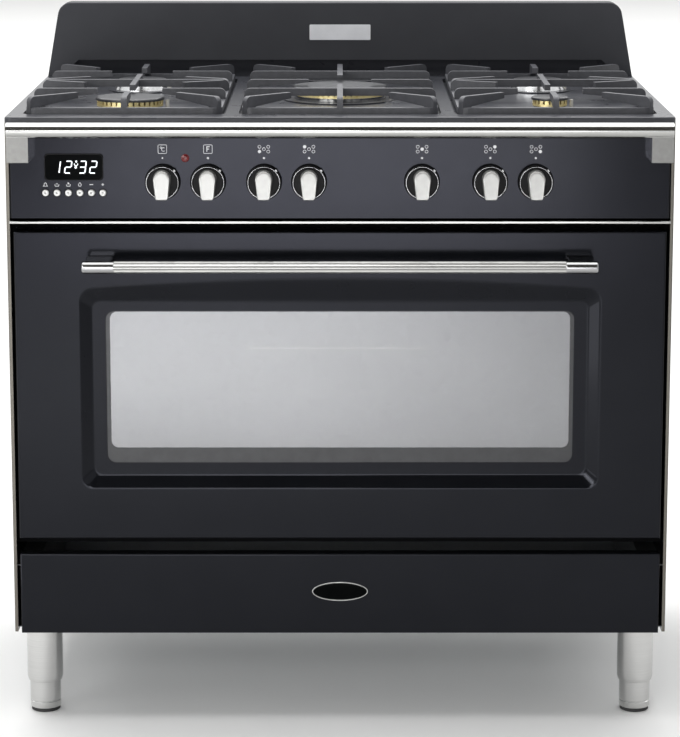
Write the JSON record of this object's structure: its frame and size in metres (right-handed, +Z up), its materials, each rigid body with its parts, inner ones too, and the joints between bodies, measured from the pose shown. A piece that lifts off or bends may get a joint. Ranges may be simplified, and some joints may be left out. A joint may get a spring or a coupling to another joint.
{
  "type": "range cooker",
  "caption": "Free-standing range cooker: gas hob with cast pan supports over a wide glass-door oven, front knobs, storage drawer and adjustable feet.",
  "frame": {"origin": "on the floor under the middle of the overall box", "axes": "+Z up, the front with door and knobs faces -Y, +X to the right seen from the front"},
  "size_m": [0.9, 0.6825, 0.957],
  "materials": {
    "anthracite_enamel": "gloss enamel",
    "galvanised_steel": "plain sheet",
    "oven_enamel": "speckled oven enamel",
    "polished_steel": "polished",
    "satin_steel": "satin",
    "cast_iron": "matt enamel on cast iron",
    "burner_cap_enamel": "semi-gloss enamel",
    "burner_aluminium": "machined",
    "burner_brass": "turned",
    "gas_pipe": "plain steel pipe",
    "ceramic": "glazed ceramic",
    "knob_black": "black skirt with a silver lever",
    "white_plastic": "satin",
    "display_black": "gloss window",
    "lamp_red": "translucent red",
    "switch_plastic": "moulded",
    "door_glass": "half-mirrored clear glass",
    "gasket_rubber": "soft silicone"
  },
  "bodies": {
    "cabinet": {"side_panels": "anthracite_enamel", "hob_plate": "anthracite_enamel", "upstand": "anthracite_enamel", "control_panel": "anthracite_enamel", "back_panel": "galvanised_steel", "base_panel": "galvanised_steel", "drawer_runners": "galvanised_steel", "hinge_arms": "galvanised_steel", "fan_motor": "galvanised_steel", "oven_cavity": "oven_enamel", "front_frame": "oven_enamel", "fan_cover": "oven_enamel", "front_rail": "polished_steel", "panel_trim": "polished_steel", "shelf_racks": "polished_steel", "rail_brackets": "satin_steel", "leg_sleeves": "satin_steel", "heating_elements": "satin_steel", "burner_caps": "burner_cap_enamel", "burner_cups": "burner_aluminium", "burner_pipes": "burner_aluminium", "burner_rings": "burner_brass", "gas_valves": "burner_brass", "gas_manifold": "gas_pipe", "spark_electrodes": "ceramic", "timer_display": "display_black", "indicator_lamp": "lamp_red", "oven_switches": "switch_plastic", "terminal_box": "switch_plastic", "oven_gasket": "gasket_rubber"},
    "door": {"door_panel": "anthracite_enamel", "door_outer_glass": "door_glass", "door_inner_frame": "oven_enamel", "door_inner_glass": "door_glass", "door_handle": "polished_steel", "hinge_bodies": "galvanised_steel"},
    "drawer": {"drawer_front": "anthracite_enamel", "drawer_box": "galvanised_steel"},
    "shelf": {"oven_shelf": "polished_steel"},
    "fan": {"oven_fan": "satin_steel"},
    "left_pan_support": {"left_grate": "cast_iron"},
    "centre_pan_support": {"centre_grate": "cast_iron"},
    "right_pan_support": {"right_grate": "cast_iron"},
    "thermostat_control": {"thermostat_knob": "knob_black"},
    "function_control": {"function_knob": "knob_black"},
    "front_left_control": {"front_left_knob": "knob_black"},
    "rear_left_control": {"rear_left_knob": "knob_black"},
    "centre_control": {"centre_knob": "knob_black"},
    "rear_right_control": {"rear_right_knob": "knob_black"},
    "front_right_control": {"front_right_knob": "knob_black"},
    "button_1": {"timer_button_1": "white_plastic"},
    "button_2": {"timer_button_2": "white_plastic"},
    "button_3": {"timer_button_3": "white_plastic"},
    "button_4": {"timer_button_4": "white_plastic"},
    "button_5": {"timer_button_5": "white_plastic"},
    "button_6": {"timer_button_6": "white_plastic"},
    "front_left_leg_foot": {"front_left_foot": "satin_steel"},
    "front_right_leg_foot": {"front_right_foot": "satin_steel"},
    "rear_left_leg_foot": {"rear_left_foot": "satin_steel"},
    "rear_right_leg_foot": {"rear_right_foot": "satin_steel"}
  },
  "joints": [
    {"name": "door_hinge", "type": "hinge", "parent": "cabinet", "child": "door", "pos_m": [0, -0.25875, 0.273], "axis": [1, 0, 0], "range_deg": [0, 90], "stiffness_Nm_per_rad": 10, "springref_deg": -11.46},
    {"name": "drawer_slide", "type": "slide", "parent": "cabinet", "child": "drawer", "axis": [0, -1, 0], "range_m": [0, 0.32]},
    {"name": "shelf_slide", "type": "slide", "parent": "cabinet", "child": "shelf", "axis": [0, -1, 0], "range_m": [0, 0.025]},
    {"name": "fan_spin", "type": "hinge", "parent": "cabinet", "child": "fan", "pos_m": [0, 0.16845, 0.479], "axis": [0, -1, 0], "continuous": true},
    {"name": "left_pan_support_lift", "type": "slide", "parent": "cabinet", "child": "left_pan_support", "axis": [0, 0, 1], "range_m": [0, 0.1]},
    {"name": "centre_pan_support_lift", "type": "slide", "parent": "cabinet", "child": "centre_pan_support", "axis": [0, 0, 1], "range_m": [0, 0.1]},
    {"name": "right_pan_support_lift", "type": "slide", "parent": "cabinet", "child": "right_pan_support", "axis": [0, 0, 1], "range_m": [0, 0.1]},
    {"name": "thermostat_turn", "type": "hinge", "parent": "cabinet", "child": "thermostat_control", "pos_m": [-0.238, -0.28075, 0.757], "axis": [0, -1, 0], "range_deg": [-290, 0]},
    {"name": "function_turn", "type": "hinge", "parent": "cabinet", "child": "function_control", "pos_m": [-0.177, -0.28075, 0.757], "axis": [0, -1, 0], "continuous": true},
    {"name": "front_left_turn", "type": "hinge", "parent": "cabinet", "child": "front_left_control", "pos_m": [-0.102, -0.28075, 0.757], "axis": [0, -1, 0], "range_deg": [0, 180]},
    {"name": "rear_left_turn", "type": "hinge", "parent": "cabinet", "child": "rear_left_control", "pos_m": [-0.0415, -0.28075, 0.757], "axis": [0, -1, 0], "range_deg": [0, 180]},
    {"name": "centre_turn", "type": "hinge", "parent": "cabinet", "child": "centre_control", "pos_m": [0.11, -0.28075, 0.757], "axis": [0, -1, 0], "range_deg": [0, 180]},
    {"name": "rear_right_turn", "type": "hinge", "parent": "cabinet", "child": "rear_right_control", "pos_m": [0.2015, -0.28075, 0.757], "axis": [0, -1, 0], "range_deg": [0, 180]},
    {"name": "front_right_turn", "type": "hinge", "parent": "cabinet", "child": "front_right_control", "pos_m": [0.2625, -0.28075, 0.757], "axis": [0, -1, 0], "range_deg": [0, 180]},
    {"name": "button_1_press", "type": "slide", "parent": "cabinet", "child": "button_1", "axis": [0, 1, 0], "range_m": [0, 0.0015], "stiffness_N_per_m": 300, "springref_m": -0.001},
    {"name": "button_2_press", "type": "slide", "parent": "cabinet", "child": "button_2", "axis": [0, 1, 0], "range_m": [0, 0.0015], "stiffness_N_per_m": 300, "springref_m": -0.001},
    {"name": "button_3_press", "type": "slide", "parent": "cabinet", "child": "button_3", "axis": [0, 1, 0], "range_m": [0, 0.0015], "stiffness_N_per_m": 300, "springref_m": -0.001},
    {"name": "button_4_press", "type": "slide", "parent": "cabinet", "child": "button_4", "axis": [0, 1, 0], "range_m": [0, 0.0015], "stiffness_N_per_m": 300, "springref_m": -0.001},
    {"name": "button_5_press", "type": "slide", "parent": "cabinet", "child": "button_5", "axis": [0, 1, 0], "range_m": [0, 0.0015], "stiffness_N_per_m": 300, "springref_m": -0.001},
    {"name": "button_6_press", "type": "slide", "parent": "cabinet", "child": "button_6", "axis": [0, 1, 0], "range_m": [0, 0.0015], "stiffness_N_per_m": 300, "springref_m": -0.001},
    {"name": "front_left_foot_height", "type": "slide", "parent": "cabinet", "child": "front_left_leg_foot", "axis": [0, 0, -1], "range_m": [-0.03, 0.02]},
    {"name": "front_right_foot_height", "type": "slide", "parent": "cabinet", "child": "front_right_leg_foot", "axis": [0, 0, -1], "range_m": [-0.03, 0.02]},
    {"name": "rear_left_foot_height", "type": "slide", "parent": "cabinet", "child": "rear_left_leg_foot", "axis": [0, 0, -1], "range_m": [-0.03, 0.02]},
    {"name": "rear_right_foot_height", "type": "slide", "parent": "cabinet", "child": "rear_right_leg_foot", "axis": [0, 0, -1], "range_m": [-0.03, 0.02]}
  ]
}
